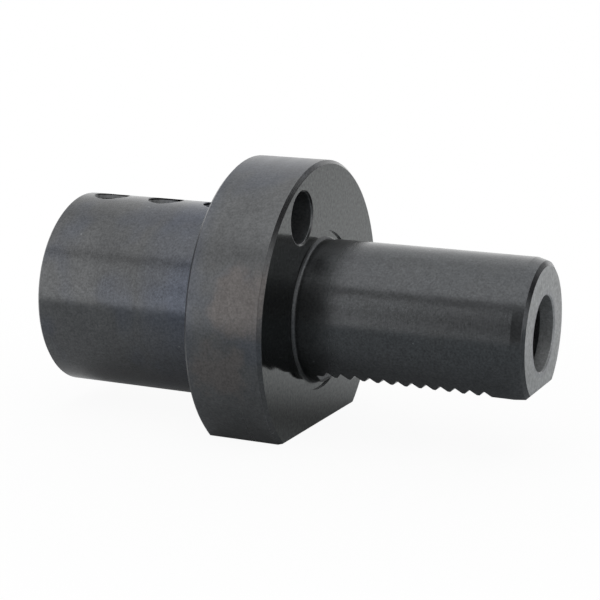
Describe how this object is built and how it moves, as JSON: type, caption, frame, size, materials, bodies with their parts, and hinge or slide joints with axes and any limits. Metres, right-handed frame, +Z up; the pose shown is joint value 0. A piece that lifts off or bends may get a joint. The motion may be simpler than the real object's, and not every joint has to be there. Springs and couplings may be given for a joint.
{
  "type": "vdi static tool holder",
  "caption": "Steel boring bar holder with a serrated round shank, a flange with a coolant port and ball nozzle, and a bored nose with clamping screws.",
  "frame": {"origin": "on the shank's axis, in the plane of the flange's seat face", "axes": "+X along the axis to the shank's end, +Z up from the foot flat to the clamping screws"},
  "size_m": [0.138, 0.083, 0.0735],
  "materials": {
    "holder_steel": "hardened, blackened and ground satin",
    "screw_steel": "black oxide",
    "ball_steel": "turned stainless",
    "ring_steel": "black oxide",
    "seal_plastic": "turned, matt"
  },
  "bodies": {
    "holder": {"holder_body": "holder_steel", "nozzle_ring": "ring_steel", "nozzle_seal": "seal_plastic"},
    "clamp_screw_1": {"set_screw_1": "screw_steel"},
    "clamp_screw_2": {"set_screw_2": "screw_steel"},
    "clamp_screw_3": {"set_screw_3": "screw_steel"},
    "nozzle": {"nozzle_ball": "ball_steel"}
  },
  "joints": [
    {"name": "screw_travel_1", "type": "slide", "parent": "holder", "child": "clamp_screw_1", "axis": [0, 0, 1], "range_m": [-0.0035, 0.0025]},
    {"name": "screw_travel_2", "type": "slide", "parent": "holder", "child": "clamp_screw_2", "axis": [0, 0, 1], "range_m": [-0.0035, 0.0025]},
    {"name": "screw_travel_3", "type": "slide", "parent": "holder", "child": "clamp_screw_3", "axis": [0, 0, 1], "range_m": [-0.0035, 0.0025]},
    {"name": "nozzle_aim", "type": "hinge", "parent": "holder", "child": "nozzle", "pos_m": [-0.0188, -0.01682, 0.02998], "axis": [0, -0.8721, -0.4894], "range_deg": [-15, 15]}
  ]
}
